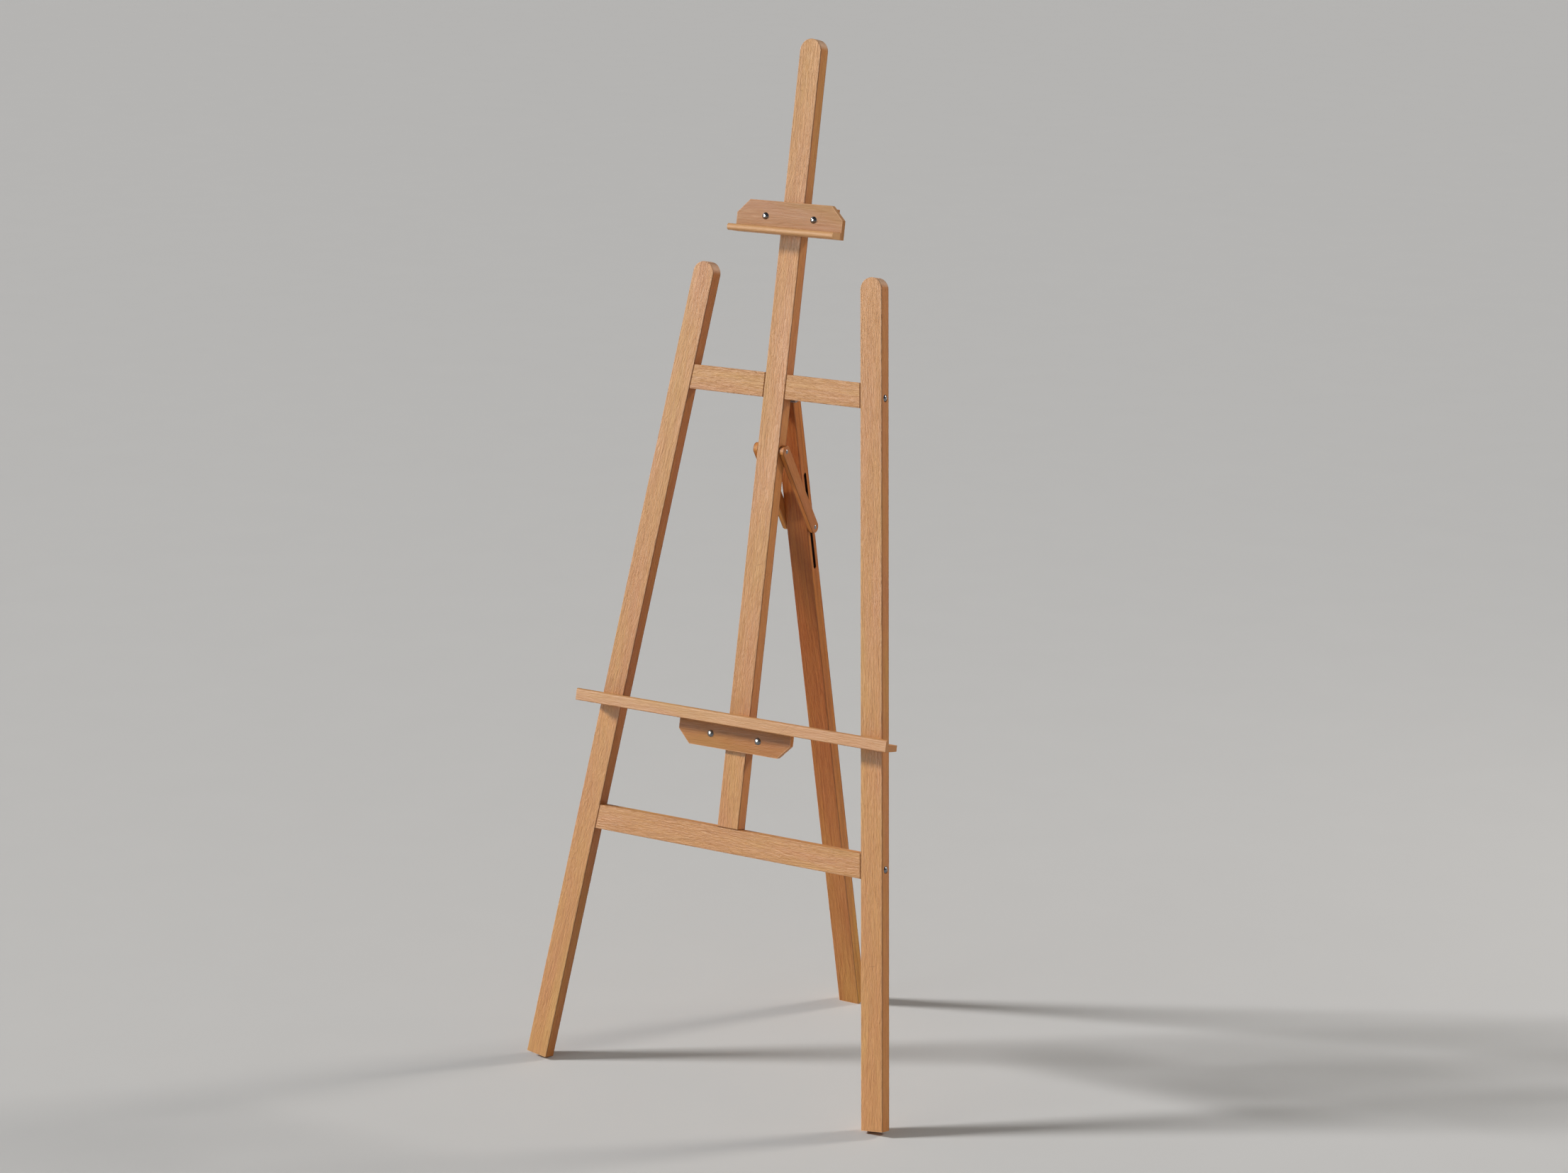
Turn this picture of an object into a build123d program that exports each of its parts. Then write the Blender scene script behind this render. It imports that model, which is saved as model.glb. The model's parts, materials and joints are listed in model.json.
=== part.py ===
from build123d import *
import math
import os

# A lyre studio easel in beech: two front legs that converge upward, two crossbars, a mast,
# a hinged rear leg held by a pair of link bars, and two holders that slide along the mast.
# Units are millimetres. Local frame axes while the front frame is built upright:
# X across the easel, Y from the front face to the back, Z up the frame.

# ---- wood stock ----
STOCK_WIDTH = 42.0
STOCK_THICKNESS = 25.0
EDGE_RADIUS = 1.2
MID_DEPTH = STOCK_THICKNESS / 2

# ---- stance ----
FRAME_LEAN = 12.8            # the front frame leans back from upright
SPREAD = 23.1                # between the front frame and the rear leg
LEG_SPLAY = 7.17             # each front leg leans inward by this much

# ---- front frame, heights measured up the frame from the middle of a foot ----
FOOT_HALF_SPACING = 349.3
FRONT_LEG_LENGTH = 1458.5
CROSSBAR_HEIGHT = 43.0
LOWER_CROSSBAR_Z = 445.9
UPPER_CROSSBAR_Z = 1244.5
MAST_TOP_Z = 1845.0
MAST_BOTTOM_Z = LOWER_CROSSBAR_Z + CROSSBAR_HEIGHT / 2

# ---- crossbar joints ----
HEAD_RADIUS = 6.3            # domed coach bolt head
HEAD_HEIGHT = 3.4
FRAME_BOLT_RADIUS = 3.0
BORE_CLEARANCE = 0.1         # radial gap around bolts, dowels and screws
SEAT_DEPTH = 0.9             # flat seat under a head on a splayed leg
SEAT_RADIUS = HEAD_RADIUS + 0.3
BARREL_RADIUS = 5.0
BARREL_LENGTH = 15.0
BARREL_INSET = 25.0          # from the crossbar's end
BARREL_FRONT_WALL = 5.0
BOLT_PAST_BARREL = 8.0
DOWEL_RADIUS = 4.0
DOWEL_LENGTH = 40.0
DOWEL_OFFSET = 13.0          # above and below the bolt
MAST_DOWEL_OFFSET = 10.0
DOWEL_BORE_EXTRA = 1.0       # a dowel hole is this much deeper than the dowel, at each end

# ---- countersunk screws ----
LAP_SCREW = {"head": 4.0, "shank": 2.0, "length": 20.0}
LEAF_SCREW = {"head": 3.2, "shank": 1.6, "length": 12.0}
END_GRAIN_SCREW = {"head": 3.2, "shank": 1.6, "length": 25.0}
LAP_SCREW_HALF_SPACING = 10.0
LAP_SCREW_RISE = 11.5        # above the middle of the upper crossbar
DRIVE_SLOT_WIDTH = 0.8
DRIVE_SLOT_DEPTH = 0.9

# ---- rear hinge ----
HINGE_HALF_LENGTH = 30.0
HINGE_PIN_Z = 1222.0
KNUCKLE_RADIUS = 3.0
KNUCKLE_COUNT = 5
KNUCKLE_GAP = 0.3
PIN_RADIUS = 1.45
PIN_BORE_RADIUS = 1.5
LEAF_THICKNESS = 1.5
LEAF_WIDTH = 24.0
LEAF_SCREW_SPACING = 22.0
LEAF_SCREW_RISE = 16.0
LEAF_SCREW_RISE_MIDDLE = 12.0
LEG_SCREW_SPACING = 14.0

# ---- rear leg, in hinge-pin axes: Z up the leg, Y away from the front frame ----
REAR_LEG_FRONT_Y = 3.9
REAR_LEG_MID_Y = REAR_LEG_FRONT_Y + MID_DEPTH
SLOT_TOP = 142.7
SLOT_BOTTOM = 326.3
SLOT_WIDTH = 8.0

# ---- link bars ----
LINK_PIVOT_Z = 1133.0
LINK_PITCH = 181.0
LINK_END_RADIUS = 10.5
LINK_THICKNESS = 10.0
LINK_GAP = 0.5               # between a link and the mast or the rear leg
SLOT_BOLT_OFFSET = -1.0      # the bolt stands this far forward in its slot
LINK_HEAD_RADIUS = 3.8       # low domed heads of a link's bolt and its sleeve nut
LINK_HEAD_HEIGHT = 1.2
SLEEVE_RADIUS = 3.3
SLEEVE_LENGTH = 9.0
SLEEVE_END_GAP = 0.5         # from a bolt's end to the outer side of the link
NUT_SLOT_WIDTH = 1.2         # driver slot across a sleeve nut's head
NUT_SLOT_DEPTH = 0.6
BOLT_RADIUS = 2.5
BOLT_RUNNING_RADIUS = BOLT_RADIUS + 0.05
BOLT_HOLE_RADIUS = BOLT_RADIUS + BORE_CLEARANCE
BOLT_PAST_NUT = 2.0
WASHER_THICKNESS = 1.0
NUT_GAP = 0.05               # a turning nut stands just clear of what it bears on
WIDE_WASHER_RADIUS = 7.5

# ---- wing nuts ----
WING_HUB_RADIUS = 5.5
WING_HUB_TOP_RADIUS = 4.4
WING_HUB_HEIGHT = 7.0
WING_REACH = 13.0
WING_HEIGHT = 12.5
WING_THICKNESS = 2.0
WING_ROUND = 1.6

# ---- holders, measured like the front frame ----
SLIDE_GAP = 0.3              # between a sliding board and the mast
BOARD_THICKNESS = 10.5
BOARD_FRONT_Y = -SLIDE_GAP - BOARD_THICKNESS
HOLDER_BOLT_HALF_SPACING = 48.4
CORNER_CUT = 24.0

UPPER_BOTTOM_Z = 1504.5
UPPER_TOP_Z = 1561.6
UPPER_HALF_LENGTH = 106.0
UPPER_BOLT_Z = 1534.7
RAIL_HEIGHT = 11.5
RAIL_FRONT_Y = -40.0
RAIL_NOSE_RADIUS = 5.4
INNER_CORNER_RADIUS = 2.0

TRAY_BOTTOM_Z = 651.0
TRAY_THICKNESS = 10.8
TRAY_HALF_LENGTH = 317.0
TRAY_FRONT_Y = -40.3
LIP_THICKNESS = 8.7
LIP_HEIGHT = 21.0
LIP_ROUND = 4.0
LIP_BOTTOM_ROUND = 1.5
CLAMP_HALF_LENGTH = 114.0
CLAMP_BOTTOM_Z = 605.0
SHELF_BOLT_Z = 629.0
TRAY_DOWEL_RADIUS = 3.0
TRAY_DOWEL_LENGTH = 22.0
TRAY_DOWEL_RISE = 8.0        # how far a tray dowel stands into the tray
TRAY_DOWEL_X = (-90.0, -30.0, 30.0, 90.0)

BACK_HALF_LENGTH = 72.0
BACK_HEIGHT = 46.0
BACK_THICKNESS = 11.0
BACK_FRONT_Y = STOCK_THICKNESS + SLIDE_GAP
BACK_FACE_Y = BACK_FRONT_Y + BACK_THICKNESS

SIDES = (-1, 1)
SIDE_NAMES = {-1: "left", 1: "right"}

# ---- how an axis that points up in its own frame is turned to each side ----
TO_FRONT = Rot(90, 0, 0)
TO_BACK = Rot(-90, 0, 0)
TO_RIGHT = Rot(0, 90, 0)
TO_LEFT = Rot(0, -90, 0)
BASE = (Align.CENTER, Align.CENTER, Align.MIN)
HANGING = (Align.CENTER, Align.CENTER, Align.MAX)

splay = math.radians(LEG_SPLAY)
lean = math.radians(FRAME_LEAN)
spread = math.radians(SPREAD)


# ---------------------------------------------------------------- shared shapes

def slab(x_range, y_range, z_range):
    """A box between two limits on each axis."""
    spans = [high - low for low, high in (x_range, y_range, z_range)]
    middle = [(low + high) / 2 for low, high in (x_range, y_range, z_range)]
    return Pos(*middle) * Box(*spans)


def rod(radius, length):
    """A round rod standing on its origin."""
    return Cylinder(radius, length, align=BASE)


def outline_plate(points, thickness):
    """A plate cut to an outline given as (across, up) points, its front face at Y 0."""
    return extrude(Plane.XZ * make_face(Polyline(*points, close=True)), -thickness)


def soften(solid, edges, radius=EDGE_RADIUS):
    """Take the sharpness off some edges of a solid."""
    return fillet(edges, radius)


def round_topped_bar(length):
    """A length of leg stock with a half-round top, its front face at Y 0 and its foot at Z 0."""
    radius = STOCK_WIDTH / 2
    shoulder = length - radius
    profile = Pos(0, shoulder / 2) * Rectangle(STOCK_WIDTH, shoulder) + Pos(0, shoulder) * Circle(radius)
    bar = extrude(Plane.XZ * profile, -STOCK_THICKNESS)
    around = [edge for face in bar.faces().filter_by(Axis.Y) for edge in face.edges()]
    above_foot = [edge for edge in around if edge.center().Z > 1]
    return soften(bar, above_foot)


def dome_bolt(shank_radius, shank_length, head_radius=HEAD_RADIUS, head_height=HEAD_HEIGHT):
    """A coach bolt: the domed head above the origin, the shank below it."""
    ball_radius = (head_radius ** 2 + head_height ** 2) / (2 * head_height)
    ball = Pos(0, 0, head_height - ball_radius) * Sphere(ball_radius)
    head = ball & rod(head_radius, head_height)
    return head + Cylinder(shank_radius, shank_length, align=HANGING)


def washer(outer_radius):
    """A flat washer lying on its origin."""
    return rod(outer_radius, WASHER_THICKNESS) - rod(BOLT_HOLE_RADIUS, WASHER_THICKNESS)


def sleeve_nut():
    """A low domed nut above its origin, its sleeve below, with a blind bore and a driver slot."""
    nut = dome_bolt(SLEEVE_RADIUS, SLEEVE_LENGTH, LINK_HEAD_RADIUS, LINK_HEAD_HEIGHT)
    nut = nut - Cylinder(BOLT_RUNNING_RADIUS, SLEEVE_LENGTH, align=HANGING)
    slot = Box(2 * LINK_HEAD_RADIUS, NUT_SLOT_WIDTH, LINK_HEAD_HEIGHT, align=BASE)
    return nut - Pos(0, 0, LINK_HEAD_HEIGHT - NUT_SLOT_DEPTH) * slot


def wing_nut():
    """A wing nut standing on its origin, its two wings to either side along X."""
    hub = Cone(WING_HUB_RADIUS, WING_HUB_TOP_RADIUS, WING_HUB_HEIGHT, align=BASE)
    nut = hub
    for side in SIDES:
        outline = Polyline(
            (side * BOLT_RADIUS, WING_HUB_HEIGHT * 0.15),
            (side * WING_HUB_RADIUS, WING_HUB_HEIGHT * 0.2),
            (side * WING_REACH * 0.8, WING_HEIGHT * 0.4),
            (side * WING_REACH, WING_HEIGHT * 0.66),
            (side * WING_REACH * 0.94, WING_HEIGHT),
            (side * WING_REACH * 0.66, WING_HEIGHT * 0.94),
            (side * BOLT_RADIUS, WING_HUB_HEIGHT * 0.95),
            close=True,
        )
        face = make_face(outline)
        tips = [corner for corner in face.vertices() if abs(corner.X) > WING_REACH * 0.6]
        face = fillet(tips, WING_ROUND)
        nut = nut + extrude(Plane.XZ * face, WING_THICKNESS / 2, both=True)
    return nut - rod(BOLT_RUNNING_RADIUS, WING_HEIGHT)


def countersunk_screw(size, slack=0.0):
    """A countersunk screw: head flush with the origin and shank below. Slack makes its hole."""
    head = size["head"] + slack
    shank = size["shank"] + slack
    cone_height = head - shank
    body = Cone(shank, head, cone_height, align=HANGING)
    body = body + Cylinder(shank, size["length"] + slack, align=HANGING)
    if slack:
        return body
    for turn in (0, 90):
        cross = Box(head, DRIVE_SLOT_WIDTH, DRIVE_SLOT_DEPTH, align=HANGING)
        body = body - Rot(0, 0, turn) * cross
    return body


def countersunk_hole(size):
    return countersunk_screw(size, BORE_CLEARANCE)


# ---------------------------------------------------------------- front frame

def crossbar_half_length(height):
    """Half the gap between the front legs at a height up the frame."""
    half_gap_at_foot = FOOT_HALF_SPACING - STOCK_WIDTH / 2 / math.cos(splay)
    return half_gap_at_foot - height * math.tan(splay)


def leg_outer_half(height):
    """From the middle of the frame to a front leg's outer side at a height."""
    return crossbar_half_length(height) + STOCK_WIDTH / math.cos(splay)


def crossbar_joint_tools(side, middle):
    """Where the bolt, its barrel nut and the dowels of one leg joint lie."""
    to_side = TO_RIGHT if side > 0 else TO_LEFT
    barrel_x = crossbar_half_length(middle) - BARREL_INSET
    seat_x = leg_outer_half(middle) - SEAT_DEPTH
    shank = seat_x - barrel_x + BOLT_PAST_BARREL
    bolt_at = Pos(side * seat_x, MID_DEPTH, middle) * to_side
    barrel_at = Pos(side * barrel_x, BARREL_FRONT_WALL, middle) * TO_BACK
    dowels_at = []
    for rise in (-DOWEL_OFFSET, DOWEL_OFFSET):
        joint_x = crossbar_half_length(middle + rise)
        dowels_at.append(Pos(side * joint_x, MID_DEPTH, middle + rise) * to_side)
    return bolt_at, shank, barrel_at, dowels_at


CROSSBAR_JOINTS = [
    (side, middle) + crossbar_joint_tools(side, middle)
    for middle in (LOWER_CROSSBAR_Z, UPPER_CROSSBAR_Z)
    for side in SIDES
]


def joint_bores(side=None, middle=None):
    """Holes for bolts, head seats, barrel nuts and dowels at the chosen leg joints."""
    bores = []
    for joint_side, joint_middle, bolt_at, shank, barrel_at, dowels_at in CROSSBAR_JOINTS:
        if side not in (None, joint_side) or middle not in (None, joint_middle):
            continue
        hole = Cylinder(FRAME_BOLT_RADIUS + BORE_CLEARANCE, shank + DOWEL_BORE_EXTRA, align=HANGING)
        bores.append(bolt_at * hole)
        bores.append(bolt_at * rod(SEAT_RADIUS, HEAD_HEIGHT))
        bores.append(barrel_at * rod(BARREL_RADIUS + BORE_CLEARANCE, STOCK_THICKNESS))
        dowel_hole = Cylinder(DOWEL_RADIUS + BORE_CLEARANCE, DOWEL_LENGTH + 2 * DOWEL_BORE_EXTRA)
        bores += [dowel_at * dowel_hole for dowel_at in dowels_at]
    return bores


def front_leg(side):
    """A front leg in place, with the holes of its two crossbar joints."""
    stand = Pos(side * FOOT_HALF_SPACING, 0, 0) * Rot(0, -side * LEG_SPLAY, 0)
    leg = stand * round_topped_bar(FRONT_LEG_LENGTH)
    for bore in joint_bores(side=side):
        leg = leg - bore
    return leg


def crossbar(middle):
    """A crossbar whose ends are cut to the splay of the legs."""
    low = middle - CROSSBAR_HEIGHT / 2
    high = middle + CROSSBAR_HEIGHT / 2
    points = [
        (-crossbar_half_length(low), low),
        (crossbar_half_length(low), low),
        (crossbar_half_length(high), high),
        (-crossbar_half_length(high), high),
    ]
    bar = outline_plate(points, STOCK_THICKNESS)
    bar = soften(bar, bar.edges().filter_by(Axis.X))
    for bore in joint_bores(middle=middle):
        bar = bar - bore
    return bar


MAST_DOWEL_PLACES = [Pos(side * MAST_DOWEL_OFFSET, MID_DEPTH, MAST_BOTTOM_Z) for side in SIDES]
LAP_SCREW_PLACES = [
    Pos(side * LAP_SCREW_HALF_SPACING, STOCK_THICKNESS, UPPER_CROSSBAR_Z + LAP_SCREW_RISE) * TO_BACK
    for side in SIDES
]
HINGE_AT = Pos(0, STOCK_THICKNESS + KNUCKLE_RADIUS, HINGE_PIN_Z)
LEAF_SCREW_SPOTS = (
    (-LEAF_SCREW_SPACING, LEAF_SCREW_RISE),
    (0.0, LEAF_SCREW_RISE_MIDDLE),
    (LEAF_SCREW_SPACING, LEAF_SCREW_RISE),
)
FRAME_LEAF_SCREW_PLACES = [
    HINGE_AT * Pos(across, LEAF_THICKNESS - KNUCKLE_RADIUS, rise) * TO_BACK
    for across, rise in LEAF_SCREW_SPOTS
]
LEG_LEAF_SCREW_PLACES = [
    Pos(across, REAR_LEG_MID_Y, LEAF_THICKNESS - KNUCKLE_RADIUS)
    for across in (-LEG_SCREW_SPACING, 0.0, LEG_SCREW_SPACING)
]
DOWEL_HOLE = Cylinder(DOWEL_RADIUS + BORE_CLEARANCE, DOWEL_LENGTH + 2 * DOWEL_BORE_EXTRA)


def upper_crossbar():
    """The upper crossbar, halved at the front where the mast crosses it."""
    bar = crossbar(UPPER_CROSSBAR_Z)
    half = STOCK_WIDTH / 2
    reach = CROSSBAR_HEIGHT
    notch = slab((-half, half), (-1, MID_DEPTH), (UPPER_CROSSBAR_Z - reach, UPPER_CROSSBAR_Z + reach))
    bar = bar - notch
    for place in LAP_SCREW_PLACES:
        bar = bar - place * countersunk_hole(LAP_SCREW)
    for place in FRAME_LEAF_SCREW_PLACES:
        bar = bar - place * countersunk_hole(LEAF_SCREW)
    return bar


def lower_crossbar():
    bar = crossbar(LOWER_CROSSBAR_Z)
    for place in MAST_DOWEL_PLACES:
        bar = bar - place * DOWEL_HOLE
    return bar


def mast():
    """The mast, halved at the back where the upper crossbar crosses it."""
    bar = Pos(0, 0, MAST_BOTTOM_Z) * round_topped_bar(MAST_TOP_Z - MAST_BOTTOM_Z)
    half_height = CROSSBAR_HEIGHT / 2
    notch = slab(
        (-STOCK_WIDTH, STOCK_WIDTH),
        (MID_DEPTH, STOCK_THICKNESS + 1),
        (UPPER_CROSSBAR_Z - half_height, UPPER_CROSSBAR_Z + half_height),
    )
    bar = bar - notch
    for place in MAST_DOWEL_PLACES:
        bar = bar - place * DOWEL_HOLE
    for place in LAP_SCREW_PLACES:
        bar = bar - place * countersunk_hole(LAP_SCREW)
    pivot = Pos(0, MID_DEPTH, LINK_PIVOT_Z) * Rot(0, 90, 0)
    return bar - pivot * Cylinder(BOLT_HOLE_RADIUS, 2 * STOCK_WIDTH)


def barrel_nut():
    """A cross dowel nut, standing on its origin, threaded through its side."""
    nut = rod(BARREL_RADIUS, BARREL_LENGTH)
    thread_at = Pos(0, 0, MID_DEPTH - BARREL_FRONT_WALL) * Rot(0, 90, 0)
    return nut - thread_at * Cylinder(FRAME_BOLT_RADIUS + BORE_CLEARANCE / 2, 4 * BARREL_RADIUS)


# ---------------------------------------------------------------- rear hinge

def knuckle_spans(first):
    """The stretches along the pin that belong to one leaf, starting from knuckle `first`."""
    pitch = 2 * HINGE_HALF_LENGTH / KNUCKLE_COUNT
    spans = []
    for index in range(first, KNUCKLE_COUNT, 2):
        start = -HINGE_HALF_LENGTH + index * pitch
        spans.append((start + KNUCKLE_GAP / 2, start + pitch - KNUCKLE_GAP / 2))
    return spans


def hinge_leaf(first):
    """A hinge leaf in pin axes: it rises along Z from its knuckles, screwed against the -Y side."""
    back = LEAF_THICKNESS - KNUCKLE_RADIUS
    relief = KNUCKLE_RADIUS + 2 * KNUCKLE_GAP
    leaf = slab((-HINGE_HALF_LENGTH, HINGE_HALF_LENGTH), (-KNUCKLE_RADIUS, back), (relief, LEAF_WIDTH))
    for low, high in knuckle_spans(first):
        neck = slab((low, high), (-KNUCKLE_RADIUS, back), (0, relief))
        barrel = Pos((low + high) / 2, 0, 0) * Rot(0, 90, 0) * Cylinder(KNUCKLE_RADIUS, high - low)
        leaf = leaf + neck + barrel
    return leaf - Rot(0, 90, 0) * Cylinder(PIN_BORE_RADIUS, 4 * HINGE_HALF_LENGTH)


def frame_hinge_leaf():
    """The leaf that stands up against the back of the upper crossbar."""
    leaf = HINGE_AT * hinge_leaf(0)
    for place in FRAME_LEAF_SCREW_PLACES:
        leaf = leaf - place * countersunk_hole(LEAF_SCREW)
    return leaf


def leg_hinge_leaf():
    """The leaf that lies on the square top end of the rear leg, in pin axes."""
    leaf = TO_BACK * Rot(0, 0, 180) * hinge_leaf(1)
    for place in LEG_LEAF_SCREW_PLACES:
        leaf = leaf - place * countersunk_hole(END_GRAIN_SCREW)
    return leaf


# ---------------------------------------------------------------- rear leg and links

def rear_leg(foot_depth):
    """The rear leg in pin axes, hanging from just below the pin, slotted from side to side."""
    half = STOCK_WIDTH / 2
    depth = (REAR_LEG_FRONT_Y, REAR_LEG_FRONT_Y + STOCK_THICKNESS)
    leg = slab((-half, half), depth, (-foot_depth, -KNUCKLE_RADIUS))
    leg = soften(leg, leg.edges().filter_by(Axis.Z))
    slot_length = SLOT_BOTTOM - SLOT_TOP
    slot_face = SlotOverall(slot_length, SLOT_WIDTH, rotation=90)
    slot_middle = (0, REAR_LEG_MID_Y, -(SLOT_TOP + SLOT_BOTTOM) / 2)
    slot_at = Plane(origin=slot_middle, x_dir=(0, 1, 0), z_dir=(1, 0, 0))
    leg = leg - extrude(slot_at * slot_face, STOCK_WIDTH, both=True)
    for place in LEG_LEAF_SCREW_PLACES:
        leg = leg - place * countersunk_hole(END_GRAIN_SCREW)
    return leg


def link_bar(side):
    """A link bar in pivot axes, hanging from the pivot, beside the mast."""
    outline = SlotCenterToCenter(LINK_PITCH, 2 * LINK_END_RADIUS, rotation=90)
    bar = extrude(Plane.YZ * (Pos(0, -LINK_PITCH / 2) * outline), LINK_THICKNESS)
    bar = soften(bar, [edge for face in bar.faces().filter_by(Axis.X) for edge in face.edges()])
    hole_radius = BOLT_HOLE_RADIUS if side > 0 else SLEEVE_RADIUS + BORE_CLEARANCE
    for drop in (0, LINK_PITCH):
        bar = bar - Pos(0, 0, -drop) * Rot(0, 90, 0) * Cylinder(hole_radius, 4 * LINK_THICKNESS)
    inner = STOCK_WIDTH / 2 + LINK_GAP
    return Pos(inner if side > 0 else -inner - LINK_THICKNESS, 0, 0) * bar


def link_hardware(drop):
    """The bolt of one end of the links, in pivot axes, and where its sleeve nut sits."""
    outer = STOCK_WIDTH / 2 + LINK_GAP + LINK_THICKNESS
    bolt = dome_bolt(BOLT_RADIUS, 2 * outer - SLEEVE_END_GAP, LINK_HEAD_RADIUS, LINK_HEAD_HEIGHT)
    nut_at = Pos(-outer - NUT_GAP, 0, -drop) * TO_LEFT
    return Pos(outer, 0, -drop) * TO_RIGHT * bolt, nut_at


# ---------------------------------------------------------------- holders

def profile_board(profile, half_length):
    """A board of constant section: profile points are (depth, height) faces on the YZ plane."""
    return extrude(Plane.YZ * profile, half_length, both=True)


def section(y_range, z_range):
    """A rectangle of a board's section between two depths and two heights."""
    depth = y_range[1] - y_range[0]
    height = z_range[1] - z_range[0]
    return Pos((y_range[0] + y_range[1]) / 2, (z_range[0] + z_range[1]) / 2) * Rectangle(depth, height)


def corners_near(profile, depth, height, reach=0.01):
    return [v for v in profile.vertices() if math.dist((v.X, v.Y), (depth, height)) < reach]


def corner_cutters(half_length, height, toward):
    """Two triangular cutters that take a board's corners off at 45 degrees."""
    cutters = []
    for side in SIDES:
        points = [
            (side * (half_length - CORNER_CUT), height),
            (side * (half_length + 1), height - toward * (CORNER_CUT + 1)),
            (side * (half_length + 1), height + toward),
            (side * (half_length - CORNER_CUT), height + toward),
        ]
        cutter = outline_plate(points, 6 * BOARD_THICKNESS)
        cutters.append(Pos(0, -4 * BOARD_THICKNESS, 0) * cutter)
    return cutters


def bolt_holes(height):
    """Clearance holes through both boards of a holder."""
    hole = Cylinder(BOLT_HOLE_RADIUS + BORE_CLEARANCE, 8 * BOARD_THICKNESS)
    return [Pos(side * HOLDER_BOLT_HALF_SPACING, 0, height) * TO_FRONT * hole for side in SIDES]


def upper_holder():
    """The upper holder: a board with a round-nosed rail along its lower edge, in one piece."""
    rail_top = UPPER_BOTTOM_Z + RAIL_HEIGHT
    upright = section((BOARD_FRONT_Y, -SLIDE_GAP), (UPPER_BOTTOM_Z, UPPER_TOP_Z))
    rail = section((RAIL_FRONT_Y, -SLIDE_GAP), (UPPER_BOTTOM_Z, rail_top))
    profile = upright + rail
    nose = corners_near(profile, RAIL_FRONT_Y, rail_top)
    nose += corners_near(profile, RAIL_FRONT_Y, UPPER_BOTTOM_Z)
    profile = fillet(nose, RAIL_NOSE_RADIUS)
    profile = fillet(corners_near(profile, BOARD_FRONT_Y, rail_top), INNER_CORNER_RADIUS)
    profile = fillet(corners_near(profile, BOARD_FRONT_Y, UPPER_TOP_Z), EDGE_RADIUS)
    board = profile_board(profile, UPPER_HALF_LENGTH)
    for cutter in corner_cutters(UPPER_HALF_LENGTH, UPPER_TOP_Z, 1) + bolt_holes(UPPER_BOLT_Z):
        board = board - cutter
    return board


def shelf_tray():
    """The shelf: a long tray with a raised, round-topped lip along its front."""
    lip_back = TRAY_FRONT_Y + LIP_THICKNESS
    lip_top = TRAY_BOTTOM_Z + LIP_HEIGHT
    tray_top = TRAY_BOTTOM_Z + TRAY_THICKNESS
    profile = section((TRAY_FRONT_Y, -SLIDE_GAP), (TRAY_BOTTOM_Z, tray_top))
    profile = profile + section((TRAY_FRONT_Y, lip_back), (TRAY_BOTTOM_Z, lip_top))
    crown = corners_near(profile, TRAY_FRONT_Y, lip_top) + corners_near(profile, lip_back, lip_top)
    profile = fillet(crown, LIP_ROUND)
    profile = fillet(corners_near(profile, TRAY_FRONT_Y, TRAY_BOTTOM_Z), LIP_BOTTOM_ROUND)
    tray = profile_board(profile, TRAY_HALF_LENGTH)
    for place in TRAY_DOWEL_PLACES:
        tray = tray - place * TRAY_DOWEL_HOLE
    return tray


TRAY_DOWEL_PLACES = [
    Pos(across, (BOARD_FRONT_Y - SLIDE_GAP) / 2, TRAY_BOTTOM_Z + TRAY_DOWEL_RISE) for across in TRAY_DOWEL_X
]
TRAY_DOWEL = Cylinder(TRAY_DOWEL_RADIUS, TRAY_DOWEL_LENGTH, align=HANGING)
TRAY_DOWEL_HOLE = Cylinder(
    TRAY_DOWEL_RADIUS + BORE_CLEARANCE, TRAY_DOWEL_LENGTH + BORE_CLEARANCE, align=HANGING
)


def shelf_clamp_board():
    """The board below the shelf, in front of the mast, with its lower corners cut off."""
    board = slab(
        (-CLAMP_HALF_LENGTH, CLAMP_HALF_LENGTH),
        (BOARD_FRONT_Y, -SLIDE_GAP),
        (CLAMP_BOTTOM_Z, TRAY_BOTTOM_Z),
    )
    cutters = corner_cutters(CLAMP_HALF_LENGTH, CLAMP_BOTTOM_Z, -1) + bolt_holes(SHELF_BOLT_Z)
    cutters += [place * TRAY_DOWEL_HOLE for place in TRAY_DOWEL_PLACES]
    for cutter in cutters:
        board = board - cutter
    return board


def back_board(middle):
    """The board behind the mast that a holder's bolts pull tight."""
    half = BACK_HEIGHT / 2
    board = slab(
        (-BACK_HALF_LENGTH, BACK_HALF_LENGTH),
        (BACK_FRONT_Y, BACK_FACE_Y),
        (middle - half, middle + half),
    )
    board = soften(board, board.faces().sort_by(Axis.Y)[-1].edges())
    for hole in bolt_holes(middle):
        board = board - hole
    return board


def holder_hardware(name, middle):
    """The bolts, washers and wing nuts that squeeze a holder's two boards on the mast."""
    grip = BACK_FACE_Y - BOARD_FRONT_Y
    shank = grip + WASHER_THICKNESS + WING_HUB_HEIGHT + BOLT_PAST_NUT
    bolts = []
    washers = []
    hardware = {}
    for side in SIDES:
        across = side * HOLDER_BOLT_HALF_SPACING
        bolts.append(Pos(across, BOARD_FRONT_Y, middle) * TO_FRONT * dome_bolt(BOLT_RADIUS, shank))
        washers.append(Pos(across, BACK_FACE_Y, middle) * TO_BACK * washer(WIDE_WASHER_RADIUS))
        nut_at = Pos(across, BACK_FACE_Y + WASHER_THICKNESS + NUT_GAP, middle) * TO_BACK
        hardware[f"{name}_wing_nut_{SIDE_NAMES[side]}"] = nut_at * wing_nut()
    hardware[f"{name}_bolts"] = bolts
    hardware[f"{name}_washers"] = washers
    return hardware


# ---------------------------------------------------------------- assembly, frame upright

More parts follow.
